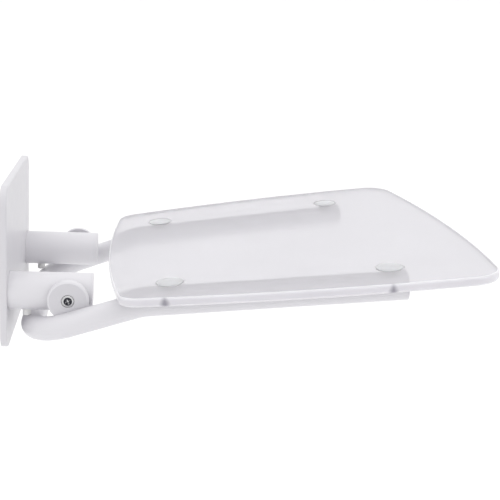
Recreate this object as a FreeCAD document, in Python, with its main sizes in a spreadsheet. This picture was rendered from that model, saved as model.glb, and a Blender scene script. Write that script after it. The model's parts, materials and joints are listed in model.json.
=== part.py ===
import FreeCAD, Part
import math
import os
import re
import Sketcher
from FreeCAD import Placement, Rotation, Vector

# Wall-mounted folding shower seat.
# Millimetres. X runs out from the wall, Y across the seat, Z up.
# The origin is on the wall, midway between the two arms, at the height of their centre lines.
# "left" is the -Y side and "right" the +Y side, as seen by a person who faces the wall.

DIMS = {
    # wall plate and its cover
    "cover_width": 210.0,
    "cover_top": 110.6,
    "cover_bottom": 59.2,
    "cover_depth": 6.8,
    "cover_wall": 2.0,
    "cover_corner": 18.0,
    "cover_edge": 1.8,
    "cover_gap": 0.2,
    "plate_thickness": 4.0,
    "fixing_width": 160.0,
    "fixing_height": 116.0,
    "fixing_radius": 3.25,
    "fixing_sink_radius": 5.6,
    # arms
    "arm_radius": 19.7,
    "arm_wall": 3.0,
    "arm_spacing": 164.0,
    "arm_end": 91.6,
    "end_cap_flange": 2.0,
    "end_cap_plug": 9.0,
    "end_cap_edge": 0.9,
    # pivot
    "pivot_out": 67.2,
    "pivot_drop": 1.5,
    "barrel_radius": 7.0,
    "barrel_inner_end": 73.0,
    "flat_at": 100.8,
    "flat_radius": 12.0,
    "journal_radius": 5.0,
    "journal_end": 109.1,
    "thread_radius": 3.0,
    "thread_depth": 22.0,
    "washer_radius": 9.0,
    "washer_start": 101.05,
    "bush_radius": 6.5,
    "bush_bore": 5.05,
    "bush_flange_start": 107.7,
    "bush_flange_end": 108.85,
    "screw_head_radius": 6.1,
    "screw_head_end": 111.0,
    "screw_end": 90.5,
    "cross_width": 1.5,
    "cross_length": 6.6,
    "cross_depth": 1.5,
    # lugs
    "lug_radius": 21.0,
    "lug_inner_face": 103.0,
    "lug_outer_face": 110.5,
    "lug_edge": 1.8,
    "lug_sink_radius": 6.75,
    # tube frame
    "tube_radius": 12.5,
    "tube_bore": 10.5,
    "cross_tube_out": 29.5,
    "cross_tube_drop": 39.1,
    "corner_bend": 47.4,
    "kink_out": 141.0,
    "kink_bend": 85.0,
    "rail_depth": 16.5,
    "rail_end": 407.4,
    "plug_flange": 2.0,
    "plug_length": 8.0,
    "plug_edge": 0.8,
    # seat
    "seat_tilt": 7.14,
    "seat_rear": 107.0,
    "seat_front": 507.2,
    "seat_thickness": 9.0,
    "seat_underside": 5.5,
    "seat_dish_radius": 4020.0,
    "seat_rear_half": 168.1,
    "seat_front_half": 208.6,
    "seat_rear_bulge": 13.6,
    "seat_front_bulge": 20.9,
    "seat_side_bulge": 9.7,
    "seat_rear_corner": 24.0,
    "seat_front_corner": 34.0,
    "seat_edge": 1.6,
    # seat fixings
    "rear_bolt_out": 170.1,
    "rear_bolt_side": 124.7,
    "front_bolt_out": 391.1,
    "front_bolt_side": 146.1,
    "recess_radius": 15.0,
    "recess_depth": 0.6,
    "cap_radius": 13.4,
    "cap_height": 1.5,
    "cap_crown": 0.5,
    "cap_skirt_radius": 7.1,
    "cap_skirt_depth": 1.2,
    "head_sink_radius": 7.3,
    "head_sink_floor": 3.2,
    "bolt_hole_radius": 3.4,
    "bolt_radius": 3.0,
    "bolt_head_radius": 6.6,
    "bolt_head_height": 3.3,
    "bolt_length": 17.0,
    "saddle_radius": 7.5,
    "saddle_seat_depth": 0.4,
    "nut_radius": 4.5,
    "nut_bore": 3.05,
    "nut_length": 14.0,
    "nut_collar_radius": 6.0,
    "nut_collar_start": 4.2,
    "nut_collar_length": 3.0,
    # stop buffers
    "buffer_out": 24.0,
    "buffer_radius": 4.2,
    "buffer_face": 25.9,
    "buffer_stem_radius": 3.0,
    "buffer_stem_top": 14.5,
}

SIDES = {"left": -1, "right": 1}
TERM = re.compile(r"([+-]?)([a-z_]+|[0-9.]+)(?:/([0-9]+))?")

doc = FreeCAD.newDocument("folding_shower_seat")
sheet = doc.addObject("Spreadsheet::Sheet", "dims")
for row, (alias, size) in enumerate(DIMS.items(), start=1):
    sheet.set(f"A{row}", alias)
    sheet.set(f"B{row}", str(size))
    sheet.setAlias(f"B{row}", alias)
doc.recompute()


def number(text):
    """Value in millimetres of a sum of named sizes, such as 'arm_end-end_cap_flange'."""
    total = 0.0
    for sign, name, divisor in TERM.findall(text):
        size = DIMS[name] if name in DIMS else float(name)
        total += (-size if sign == "-" else size) / float(divisor or 1)
    return total


def formula(text):
    """The same sum as a spreadsheet expression."""
    parts = []
    for sign, name, divisor in TERM.findall(text):
        ref = f"dims.{name}" if name in DIMS else name
        parts.append(f"{sign or '+'} {ref}{'/' + divisor if divisor else ''}")
    return " ".join(parts).lstrip("+ ")


def bind(obj, **sizes):
    """Drive properties of an object from the spreadsheet."""
    for prop, text in sizes.items():
        obj.setExpression(prop, formula(text))
    return obj


def move(obj, x="0", y="0", z="0", turn=None):
    """Place an object at sheet-driven coordinates, with an optional rotation."""
    obj.Placement = Placement(Vector(0, 0, 0), turn or Rotation())
    for axis, text in (("x", x), ("y", y), ("z", z)):
        if text != "0":
            obj.setExpression(f"Placement.Base.{axis}", formula(text))
    return obj


ALONG_X = Rotation(Vector(0, 1, 0), 90)


def along_y(sign):
    """Rotation that turns +Z to point along Y, towards the given side."""
    return Rotation(Vector(1, 0, 0), -90 * sign)


def cylinder(name, radius, height, turn=None, **at):
    tool = bind(doc.addObject("Part::Cylinder", name), Radius=radius, Height=height)
    return move(tool, turn=turn, **at)


def fused(name, shapes):
    result = doc.addObject("Part::MultiFuse", name)
    result.Shapes = shapes
    return result


def cut(name, base, tools):
    result = doc.addObject("Part::Cut", name)
    result.Base = base
    result.Tool = tools[0] if len(tools) == 1 else fused(f"{name}_tools", tools)
    return result


def plane(body, role):
    return next(item for item in body.Origin.OriginFeatures if item.Role == role)


def sketch_on(body, name, role):
    sketch = body.newObject("Sketcher::SketchObject", name)
    sketch.AttachmentSupport = (plane(body, role), [""])
    sketch.MapMode = "FlatFace"
    return sketch


def pin_point(sketch, geometry, point, x, y):
    """Hold one point of a sketch at sheet-driven coordinates."""
    for kind, axis, text in (("DistanceX", -2, x), ("DistanceY", -1, y)):
        if text == "0":
            sketch.addConstraint(Sketcher.Constraint("PointOnObject", geometry, point, axis))
        else:
            rule = Sketcher.Constraint(kind, -1, 1, geometry, point, number(text))
            index = sketch.addConstraint(rule)
            sketch.setExpression(f"Constraints[{index}]", formula(text))


def polygon(sketch, points):
    """Closed outline through corners given as pairs of sheet sums."""
    corners = [Vector(number(x), number(y), 0) for x, y in points]
    count = len(corners)
    for i in range(count):
        sketch.addGeometry(Part.LineSegment(corners[i], corners[(i + 1) % count]))
    for i in range(count):
        sketch.addConstraint(Sketcher.Constraint("Coincident", i, 2, (i + 1) % count, 1))
    for i, (x, y) in enumerate(points):
        pin_point(sketch, i, 1, x, y)


def ring(sketch, x, y, radii):
    """Concentric circles about one sheet-driven centre."""
    for radius in radii:
        centre = Vector(number(x), number(y), 0)
        index = sketch.addGeometry(Part.Circle(centre, Vector(0, 0, 1), number(radius)))
        pin_point(sketch, index, 3, x, y)
        rule = sketch.addConstraint(Sketcher.Constraint("Radius", index, number(radius)))
        sketch.setExpression(f"Constraints[{rule}]", formula(radius))


def turned(name, profile):
    """Round piece: a (radius, height) profile turned about the piece's own Z axis."""
    body = doc.addObject("PartDesign::Body", name)
    sketch = sketch_on(body, f"{name}_profile", "XZ_Plane")
    polygon(sketch, profile)
    revolution = body.newObject("PartDesign::Revolution", f"{name}_turn")
    revolution.Profile = sketch
    revolution.ReferenceAxis = (sketch, ["V_Axis"])
    revolution.Angle = 360
    return body


def edges_where(shape, test):
    return [f"Edge{i}" for i, edge in enumerate(shape.Edges, start=1) if test(edge)]


def rounded(body, name, radius, test):
    """Fillet on the body's edges that pass the test."""
    doc.recompute()
    base = body.Tip
    fillet = body.newObject("PartDesign::Fillet", name)
    fillet.Base = (base, edges_where(base.Shape, test))
    return bind(fillet, Radius=radius)


def is_circle(edge, radius, height=None):
    curve = edge.Curve
    if not isinstance(curve, Part.Circle) or abs(curve.Radius - radius) > 1e-4:
        return False
    return height is None or abs(curve.Center.z - height) < 1e-4


pieces = []


def keep(obj, label):
    """Name a finished piece and list it for export."""
    obj.Label = label
    pieces.append(obj)
    return obj


# ---------------------------------------------------------------- wall plate and cover


def rounded_block(name, inset, start, depth, corner):
    """Upright slab on the wall with rounded corners; inset is from the cover's outline."""
    body = doc.addObject("PartDesign::Body", name)
    sketch = sketch_on(body, f"{name}_outline", "YZ_Plane")
    half = f"cover_width/2{inset}"
    top = f"cover_top{inset}"
    low = "-cover_bottom" + inset.replace("-", "+")
    left = "-cover_width/2" + inset.replace("-", "+")
    polygon(sketch, [(left, low), (half, low), (half, top), (left, top)])
    if start != "0":
        sketch.setExpression("AttachmentOffset.Base.z", formula(start))
    pad = body.newObject("PartDesign::Pad", f"{name}_pad")
    pad.Profile = sketch
    bind(pad, Length=depth)
    doc.recompute()
    wall_normal = Vector(1, 0, 0)
    rounded(body, f"{name}_corners", corner, lambda e: runs_along(e, wall_normal))
    return body


def runs_along(edge, direction):
    if not isinstance(edge.Curve, Part.Line):
        return False
    return abs(edge.Curve.Direction.dot(direction)) > 0.999


def backing_plate():
    slab = rounded_block(
        "backing_slab", "-cover_wall-cover_gap", "0", "plate_thickness", "cover_corner-cover_wall"
    )
    tools = []
    for tag, y in (("left", "-fixing_width/2"), ("right", "fixing_width/2")):
        for level, sign in (("low", "-"), ("high", "+")):
            z = f"cover_top/2-cover_bottom/2{sign}fixing_height/2"
            at = {"turn": ALONG_X, "y": y, "z": z}
            tools.append(
                cylinder(f"fixing_hole_{tag}_{level}", "fixing_radius", "plate_thickness", **at)
            )
            sink = doc.addObject("Part::Cone", f"fixing_sink_{tag}_{level}")
            bind(
                sink,
                Radius1="fixing_radius",
                Radius2="fixing_sink_radius",
                Height="fixing_sink_radius-fixing_radius",
            )
            depth = "plate_thickness-fixing_sink_radius+fixing_radius"
            tools.append(move(sink, x=depth, **at))
    keep(cut("backing_plate", slab, tools), "backing_plate")


def wall_cover():
    shell = rounded_block("cover_shell", "", "0", "cover_depth", "cover_corner")
    front = DIMS["cover_depth"]
    rounded(shell, "cover_front_edge", "cover_edge", lambda e: e.BoundBox.XMin > front - 1e-4)
    hollow = rounded_block(
        "cover_hollow", "-cover_wall", "0", "cover_depth-cover_wall", "cover_corner-cover_wall"
    )
    tools = [hollow]
    for side, y in (("left", "-arm_spacing/2"), ("right", "arm_spacing/2")):
        tools.append(
            cylinder(
                f"arm_opening_{side}", "arm_radius+cover_gap", "cover_depth", turn=ALONG_X, y=y
            )
        )
    keep(cut("wall_cover", shell, tools), "wall_cover")


# ---------------------------------------------------------------- arms and pivots


def signed(side, text):
    """The sum for the right side, or its mirror image for the left side."""
    if SIDES[side] > 0:
        return text
    swap = {"+": "-", "-": "+", "": "-"}
    return "".join(
        f"{swap[sign]}{name}{'/' + divisor if divisor else ''}"
        for sign, name, divisor in TERM.findall(text)
    )


def arm(side):
    y = signed(side, "arm_spacing/2")
    turn = along_y(SIDES[side])
    tube = cylinder(
        f"arm_{side}_tube", "arm_radius", "arm_end-end_cap_flange-plate_thickness",
        turn=ALONG_X, x="plate_thickness", y=y,
    )
    tools = [
        cylinder(f"arm_{side}_bore", "arm_radius-arm_wall", "arm_end", turn=ALONG_X, y=y),
        cylinder(
            f"arm_{side}_pivot_bore", "barrel_radius", "arm_radius+2", turn=turn,
            x="pivot_out", y=y, z="-pivot_drop",
        ),
        cylinder(
            f"arm_{side}_flat", "flat_radius", "arm_radius", turn=turn,
            x="pivot_out", y=signed(side, "flat_at"), z="-pivot_drop",
        ),
        cylinder(
            f"arm_{side}_buffer_hole", "buffer_stem_radius", "arm_radius-buffer_stem_top+2",
            x="buffer_out", y=y, z="-arm_radius-2",
        ),
    ]
    keep(cut(f"arm_{side}", tube, tools), f"arm_{side}")


def arm_end_cap(side):
    plug = "arm_radius-arm_wall"
    body = turned(
        f"arm_end_cap_{side}",
        [
            ("0", "-end_cap_flange"),
            ("arm_radius-arm_wall-2", "-end_cap_flange"),
            ("arm_radius-arm_wall-2", "-end_cap_plug"),
            (plug, "-end_cap_plug"),
            (plug, "-end_cap_flange"),
            ("arm_radius", "-end_cap_flange"),
            ("arm_radius", "0"),
            ("0", "0"),
        ],
    )
    radius = DIMS["arm_radius"]
    rounded(body, f"arm_end_cap_{side}_edge", "end_cap_edge", lambda e: is_circle(e, radius, 0))
    move(body, x="arm_end", y=signed(side, "arm_spacing/2"), turn=ALONG_X)
    keep(body, f"arm_end_cap_{side}")


def pivot_barrel(side):
    body = turned(
        f"pivot_barrel_{side}",
        [
            ("0", "barrel_inner_end"),
            ("barrel_radius", "barrel_inner_end"),
            ("barrel_radius", "flat_at"),
            ("journal_radius", "flat_at"),
            ("journal_radius", "journal_end"),
            ("thread_radius", "journal_end"),
            ("thread_radius", "journal_end-thread_depth"),
            ("0", "journal_end-thread_depth"),
        ],
    )
    move(body, x="pivot_out", z="-pivot_drop", turn=along_y(SIDES[side]))
    keep(body, f"pivot_barrel_{side}")


def pivot_screw(side):
    name = f"pivot_screw_{side}"
    head = turned(
        f"{name}_blank",
        [
            ("0", "screw_end"),
            ("thread_radius", "screw_end"),
            ("thread_radius", "journal_end+0.1"),
            ("screw_head_radius", "journal_end+0.1"),
            ("screw_head_radius", "screw_head_end-0.9"),
            ("screw_head_radius-1.6", "screw_head_end"),
            ("0", "screw_head_end"),
        ],
    )
    tools = []
    for tag, length, width in (("a", "cross_length", "cross_width"), ("b", "cross_width", "cross_length")):
        bar = doc.addObject("Part::Box", f"{name}_cross_{tag}")
        bind(bar, Length=length, Width=width, Height="cross_depth+1")
        tools.append(move(bar, x=f"-{length}/2", y=f"-{width}/2", z="screw_head_end-cross_depth"))
    screw = cut(name, head, tools)
    move(screw, x="pivot_out", z="-pivot_drop", turn=along_y(SIDES[side]))
    keep(screw, name)


def pivot_bush(side):
    body = turned(
        f"pivot_bush_{side}",
        [
            ("bush_bore", "lug_inner_face"),
            ("bush_radius", "lug_inner_face"),
            ("bush_radius", "bush_flange_start"),
            ("lug_sink_radius", "bush_flange_start"),
            ("lug_sink_radius", "bush_flange_end"),
            ("bush_bore", "bush_flange_end"),
        ],
    )
    move(body, x="pivot_out", z="-pivot_drop", turn=along_y(SIDES[side]))
    keep(body, f"pivot_bush_{side}")


def thrust_washer(side):
    body = turned(
        f"thrust_washer_{side}",
        [
            ("bush_bore", "washer_start"),
            ("washer_radius", "washer_start"),
            ("washer_radius", "lug_inner_face"),
            ("bush_bore", "lug_inner_face"),
        ],
    )
    move(body, x="pivot_out", z="-pivot_drop", turn=along_y(SIDES[side]))
    keep(body, f"thrust_washer_{side}")


def stop_buffer(side):
    y = signed(side, "arm_spacing/2")
    name = f"stop_buffer_{side}"
    foot = cylinder(
        f"{name}_foot", "buffer_radius", "buffer_face-buffer_stem_top",
        x="buffer_out", y=y, z="-buffer_face",
    )
    arm_tube = cylinder(f"{name}_arm", "arm_radius", "arm_end", turn=ALONG_X, y=y)
    stem = cylinder(
        f"{name}_stem", "buffer_stem_radius", "buffer_face-buffer_stem_top-0.3",
        x="buffer_out", y=y, z="-buffer_face+0.3",
    )
    keep(fused(name, [cut(f"{name}_saddle", foot, [arm_tube]), stem]), name)


# ---------------------------------------------------------------- bent tube frame

TILT = math.radians(DIMS["seat_tilt"])
SEAT_PLANE = Placement(Vector(0, 0, 0), Rotation(Vector(0, 1, 0), -DIMS["seat_tilt"]))

# sideways spread of the rails, per millimetre along the seat and per millimetre out from the wall
RAIL_SPREAD = (DIMS["front_bolt_side"] - DIMS["rear_bolt_side"]) / (
    DIMS["front_bolt_out"] - DIMS["rear_bolt_out"]
)
LEVEL_SPREAD = RAIL_SPREAD / math.cos(TILT)


def seat_point(along, side, height):
    """World point from coordinates along, across and above the seat."""
    return SEAT_PLANE.multVec(Vector(along, side, height))


def rail_side(along):
    return DIMS["rear_bolt_side"] + RAIL_SPREAD * (along - DIMS["rear_bolt_out"])


def frame_points():
    """Corner points of the right half of the tube's centre line."""
    out = DIMS["kink_out"]
    rise = (out * math.sin(TILT) - DIMS["rail_depth"]) / math.cos(TILT)
    along = out * math.cos(TILT) + rise * math.sin(TILT)
    kink = Vector(out, rail_side(along), rise)
    back = DIMS["cross_tube_out"]
    corner_side = kink.y - LEVEL_SPREAD * (out - back)
    corner = Vector(back, corner_side, -DIMS["cross_tube_drop"])
    tip = seat_point(DIMS["rail_end"], rail_side(DIMS["rail_end"]), -DIMS["rail_depth"])
    return corner, kink, tip


def path_sketch(body, name, placement, start, knee, end, bend):
    """Line, tangent arc and line in a plane; returns the sketch."""
    into = (knee - start).normalize()
    away = (end - knee).normalize()
    turn_angle = into.getAngle(away)
    reach = bend * math.tan(turn_angle / 2)
    first = knee - into * reach
    last = knee + away * reach
    side = 1 if into.cross(away).z > 0 else -1
    centre = first + Vector(-into.y, into.x, 0) * (bend * side)
    middle = centre + (knee - centre).normalize() * bend
    sketch = body.newObject("Sketcher::SketchObject", name)
    sketch.Placement = placement
    sketch.addGeometry(Part.LineSegment(start, first))
    sketch.addGeometry(Part.Arc(first, middle, last))
    sketch.addGeometry(Part.LineSegment(last, end))
    head = 1 if sketch.getPoint(1, 1).distanceToPoint(first) < 1e-6 else 2
    sketch.addConstraint(Sketcher.Constraint("Tangent", 0, 2, 1, head))
    sketch.addConstraint(Sketcher.Constraint("Tangent", 1, 3 - head, 2, 1))
    for edge in range(3):
        sketch.addConstraint(Sketcher.Constraint("Block", edge))
    return sketch


def tube_frame(name, radii):
    """Right half swept in two stretches and mirrored to the left."""
    corner, kink, tip = frame_points()
    slope = math.atan2(kink.z - corner.z, kink.x - corner.x)
    leg = (kink - corner).normalize()
    joint = kink - leg * 26.0
    body = doc.addObject("PartDesign::Body", name)

    section = sketch_on(body, f"{name}_section", "XZ_Plane")
    ring(section, "cross_tube_out", "-cross_tube_drop", radii)

    base = Placement(
        Vector(corner.x, 0, corner.z), Rotation(Vector(0, 1, 0), -math.degrees(slope))
    )
    local = base.inverse()
    back_path = path_sketch(
        body, f"{name}_back_path", base,
        Vector(0, 0, 0), local.multVec(corner), local.multVec(joint), DIMS["corner_bend"],
    )
    back = body.newObject("PartDesign::AdditivePipe", f"{name}_back")
    back.Profile = section
    back.Spine = (back_path, ["Edge1", "Edge2", "Edge3"])
    doc.recompute()

    heading = math.degrees(math.atan(LEVEL_SPREAD))
    upright = Placement(kink, Rotation(Vector(0, 0, 1), heading).multiply(Rotation(Vector(1, 0, 0), 90)))
    local = upright.inverse()
    rail_path = path_sketch(
        body, f"{name}_rail_path", upright,
        local.multVec(joint), Vector(0, 0, 0), local.multVec(tip), DIMS["kink_bend"],
    )
    face = next(
        f"Face{i}"
        for i, item in enumerate(back.Shape.Faces, start=1)
        if isinstance(item.Surface, Part.Plane) and item.CenterOfMass.distanceToPoint(joint) < 0.1
    )
    rail = body.newObject("PartDesign::AdditivePipe", f"{name}_rail")
    rail.Profile = (back, [face])
    rail.Spine = (rail_path, ["Edge1", "Edge2", "Edge3"])
    doc.recompute()

    twin = doc.addObject("Part::Mirroring", f"{name}_twin")
    twin.Source = body
    twin.Normal = Vector(0, 1, 0)
    whole = fused(f"{name}_whole", [body, twin])
    whole.Refine = True
    doc.recompute()
    return whole


BOLTS = {
    f"{row}_{side}": (DIMS[f"{row}_bolt_out"], sign * DIMS[f"{row}_bolt_side"])
    for row in ("rear", "front")
    for side, sign in SIDES.items()
}


def seat_base(across):
    """Height of the seat's underside above the seat plane at a distance from the middle."""
    return across**2 / (2 * DIMS["seat_dish_radius"]) - DIMS["seat_underside"]


def on_seat(obj, along, across, height):
    obj.Placement = SEAT_PLANE.multiply(Placement(Vector(along, across, height), Rotation()))
    return obj


def seat_frame():
    tube = tube_frame("frame_tube", ["tube_radius", "tube_bore"])
    tools = []
    for tag, (along, across) in BOLTS.items():
        hole = doc.addObject("Part::Cylinder", f"nut_hole_{tag}")
        bind(hole, Radius="nut_radius", Height="tube_radius")
        tools.append(on_seat(hole, along, across, -DIMS["rail_depth"]))
    keep(cut("seat_frame", tube, tools), "seat_frame")


def hinge_lug(side, envelope):
    name = f"hinge_lug_{side}"
    body = turned(
        f"{name}_disc",
        [
            ("bush_radius", "lug_inner_face"),
            ("lug_radius", "lug_inner_face"),
            ("lug_radius", "lug_outer_face"),
            ("lug_sink_radius", "lug_outer_face"),
            ("lug_sink_radius", "bush_flange_start"),
            ("bush_radius", "bush_flange_start"),
        ],
    )
    radius = DIMS["lug_radius"]
    face = DIMS["lug_outer_face"]
    rounded(body, f"{name}_edge", "lug_edge", lambda e: is_circle(e, radius, face))
    move(body, x="pivot_out", z="-pivot_drop", turn=along_y(SIDES[side]))
    keep(cut(name, body, [envelope]), name)


def tube_end_plug(side):
    name = f"tube_end_plug_{side}"
    body = turned(
        name,
        [
            ("0", "0"),
            ("tube_bore-2", "0"),
            ("tube_bore-2", "-plug_length"),
            ("tube_bore", "-plug_length"),
            ("tube_bore", "0"),
            ("tube_radius", "0"),
            ("tube_radius", "plug_flange"),
            ("0", "plug_flange"),
        ],
    )
    radius = DIMS["tube_radius"]
    top = DIMS["plug_flange"]
    rounded(body, f"{name}_edge", "plug_edge", lambda e: is_circle(e, radius, top))
    end = DIMS["rail_end"]
    tip = seat_point(end, rail_side(end), -DIMS["rail_depth"])
    root = seat_point(0, rail_side(0), -DIMS["rail_depth"])
    tip.y *= SIDES[side]
    root.y *= SIDES[side]
    body.Placement = Placement(tip, Rotation(Vector(0, 0, 1), tip - root))
    keep(body, name)


# ---------------------------------------------------------------- seat panel and its fixings


def bulge_radius(half_chord, bulge):
    return (half_chord**2 + bulge**2) / (2 * bulge)


def seat_outline():
    """Plan of the seat: four bowed sides that meet in four corners."""
    sketch = doc.addObject("Sketcher::SketchObject", "seat_outline")
    rear = "seat_rear+seat_rear_bulge"
    front = "seat_front-seat_front_bulge"
    corners = [
        (rear, "-seat_rear_half"),
        (front, "-seat_front_half"),
        (front, "seat_front_half"),
        (rear, "seat_rear_half"),
    ]
    bulges = ["seat_side_bulge", "seat_front_bulge", "seat_side_bulge", "seat_rear_bulge"]
    places = [Vector(number(x), number(y), 0) for x, y in corners]
    for i, bulge in enumerate(bulges):
        start, end = places[i], places[(i + 1) % 4]
        chord = end - start
        outward = Vector(chord.y, -chord.x, 0).normalize()
        middle = (start + end) * 0.5 + outward * DIMS[bulge]
        sketch.addGeometry(Part.Arc(start, middle, end))
    for i, (x, y) in enumerate(corners):
        sketch.addConstraint(Sketcher.Constraint("Coincident", i, 1, (i + 3) % 4, 2))
        pin_point(sketch, i, 1, x, y)
    for i, bulge in enumerate(bulges):
        chord = (places[(i + 1) % 4] - places[i]).Length
        radius = bulge_radius(chord / 2, DIMS[bulge])
        sketch.addConstraint(Sketcher.Constraint("Radius", i, radius))
    return sketch


def seat_section():
    """Cross-section of the seat: two parallel arcs, slightly hollow across the width."""
    sketch = doc.addObject("Sketcher::SketchObject", "seat_section")
    reach = 215.0
    low = DIMS["seat_underside"]
    high = DIMS["seat_thickness"] - low
    radius = DIMS["seat_dish_radius"]

    def arc(height, size):
        lift = size - math.sqrt(size**2 - reach**2)
        ends = (Vector(-reach, height + lift, 0), Vector(reach, height + lift, 0))
        return Part.Arc(ends[0], Vector(0, height, 0), ends[1])

    bottom = arc(-low, radius)
    top = arc(high, radius - DIMS["seat_thickness"])
    sketch.addGeometry(bottom)
    sketch.addGeometry(top)
    for end in (0, 1):
        lower = Vector((2 * end - 1) * reach, -low + radius - math.sqrt(radius**2 - reach**2), 0)
        size = radius - DIMS["seat_thickness"]
        upper = Vector((2 * end - 1) * reach, high + size - math.sqrt(size**2 - reach**2), 0)
        sketch.addGeometry(Part.LineSegment(lower, upper))
    sketch.Placement = Placement(Vector(0, 0, 0), Rotation(0.5, 0.5, 0.5, 0.5))
    return sketch


def extrusion(name, sketch, direction, length, back):
    solid = doc.addObject("Part::Extrusion", name)
    solid.Base = sketch
    solid.DirMode = "Custom"
    solid.Dir = direction
    solid.LengthFwd = length
    solid.LengthRev = back
    solid.Solid = True
    return solid


def edge_fillet(name, base, sizes):
    """Part fillet; sizes is a list of (test, radius) and the first match counts."""
    doc.recompute()
    chosen = []
    for i, edge in enumerate(base.Shape.Edges, start=1):
        for test, radius in sizes:
            if test(edge):
                chosen.append((i, radius, radius))
                break
    fillet = doc.addObject("Part::Fillet", name)
    fillet.Base = base
    fillet.Edges = chosen
    doc.recompute()
    return fillet


def seat_panel():
    plan = extrusion("seat_plan", seat_outline(), Vector(0, 0, 1), 25.0, 20.0)
    up = Vector(0, 0, 1)
    middle = (DIMS["seat_rear"] + DIMS["seat_front"]) / 2
    plan = edge_fillet(
        "seat_plan_corners",
        plan,
        [
            (lambda e: runs_along(e, up) and e.CenterOfMass.x < middle, DIMS["seat_rear_corner"]),
            (lambda e: runs_along(e, up), DIMS["seat_front_corner"]),
        ],
    )
    sheet_solid = extrusion("seat_sheet", seat_section(), Vector(1, 0, 0), 520.0, 0.0)
    blank = doc.addObject("Part::Common", "seat_blank")
    blank.Base = sheet_solid
    blank.Tool = plan
    soft = edge_fillet(
        "seat_blank_edges", blank, [(lambda e: e.BoundBox.ZLength < 0.5 * e.Length, DIMS["seat_edge"])]
    )
    tools = []
    for tag, (along, across) in BOLTS.items():
        base = seat_base(across)
        top = base + DIMS["seat_thickness"]
        for kind, radius, low, high in (
            ("recess", "recess_radius", top - DIMS["recess_depth"], top + 5),
            ("sink", "head_sink_radius", base + DIMS["head_sink_floor"], top + 5),
            ("hole", "bolt_hole_radius", base - 5, top + 5),
            ("foot", "saddle_radius", base - 5, base + DIMS["saddle_seat_depth"]),
        ):
            tool = bind(doc.addObject("Part::Cylinder", f"seat_{kind}_{tag}"), Radius=radius)
            tool.Height = high - low
            tool.Placement.Base = Vector(along, across, low)
            tools.append(tool)
    panel = cut("seat_panel", soft, tools)
    panel.Placement = SEAT_PLANE
    keep(panel, "seat_panel")


def screw_cap(tag, along, across):
    name = f"cap_{tag}"
    body = turned(
        name,
        [
            ("0", "0"),
            ("cap_skirt_radius-1.4", "0"),
            ("cap_skirt_radius-1.4", "-cap_skirt_depth"),
            ("cap_skirt_radius", "-cap_skirt_depth"),
            ("cap_skirt_radius", "0"),
            ("cap_radius", "0"),
            ("cap_radius", "cap_height-cap_crown-0.5"),
            ("cap_radius-0.8", "cap_height-cap_crown"),
            ("cap_radius/2", "cap_height-cap_crown/4"),
            ("0", "cap_height"),
        ],
    )
    top = seat_base(across) + DIMS["seat_thickness"] - DIMS["recess_depth"]
    keep(on_seat(body, along, across, top), name)


def group(label, members):
    compound = doc.addObject("Part::Compound", label)
    compound.Links = members
    keep(compound, label)


def seat_bolts():
    bolts = []
    for tag, (along, across) in BOLTS.items():
        body = turned(
            f"seat_bolt_{tag}",
            [
                ("0", "-bolt_length"),
                ("bolt_radius", "-bolt_length"),
                ("bolt_radius", "0"),
                ("bolt_head_radius", "0"),
                ("bolt_head_radius", "bolt_head_height/2"),
                ("bolt_head_radius-2", "bolt_head_height"),
                ("2", "bolt_head_height"),
                ("2", "bolt_head_height/2"),
                ("0", "bolt_head_height/2"),
            ],
        )
        bolts.append(on_seat(body, along, across, seat_base(across) + DIMS["head_sink_floor"]))
    group("seat_bolts", bolts)


def saddle_washers(envelope):
    washers = []
    for tag, (along, across) in BOLTS.items():
        top = seat_base(across) + DIMS["saddle_seat_depth"]
        low = -DIMS["rail_depth"] + DIMS["tube_radius"] - 3.0
        block = bind(doc.addObject("Part::Cylinder", f"saddle_block_{tag}"), Radius="saddle_radius")
        block.Height = top - low
        on_seat(block, along, across, low)
        bore = bind(doc.addObject("Part::Cylinder", f"saddle_bore_{tag}"), Radius="nut_radius")
        bore.Height = 20.0
        on_seat(bore, along, across, low - 5.0)
        washers.append(cut(f"saddle_washer_{tag}", block, [bore, envelope]))
    group("saddle_washers", washers)


def rivet_nuts():
    nuts = []
    collar_low = "-nut_collar_start-nut_collar_length"
    for tag, (along, across) in BOLTS.items():
        body = turned(
            f"rivet_nut_{tag}",
            [
                ("nut_bore", "-nut_length"),
                ("nut_radius", "-nut_length"),
                ("nut_radius", collar_low),
                ("nut_collar_radius", collar_low),
                ("nut_collar_radius", "-nut_collar_start"),
                ("nut_radius", "-nut_collar_start"),
                ("nut_radius", "0"),
                ("nut_bore", "0"),
            ],
        )
        top = DIMS["tube_radius"] - DIMS["rail_depth"]
        nuts.append(on_seat(body, along, across, top))
    group("rivet_nuts", nuts)


# ---------------------------------------------------------------- assembly

backing_plate()
wall_cover()
frame_envelope = tube_frame("frame_envelope", ["tube_radius"])
for hand in SIDES:
    arm(hand)
    arm_end_cap(hand)
    pivot_barrel(hand)
    pivot_screw(hand)
    stop_buffer(hand)
    hinge_lug(hand, frame_envelope)
    pivot_bush(hand)
    thrust_washer(hand)
    tube_end_plug(hand)
seat_frame()
seat_panel()
for spot, (bolt_along, bolt_across) in BOLTS.items():
    screw_cap(spot, bolt_along, bolt_across)
seat_bolts()
saddle_washers(frame_envelope)
rivet_nuts()
doc.recompute()

for item in doc.Objects:
    if "Invalid" in item.State or "Error" in item.State:
        raise RuntimeError(f"{item.Label} did not compute: {item.State}")
for item in pieces:
    if item.Shape.isNull() or not item.Shape.isValid() or not item.Shape.Solids:
        raise RuntimeError(f"{item.Label} is not a sound solid")

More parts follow.
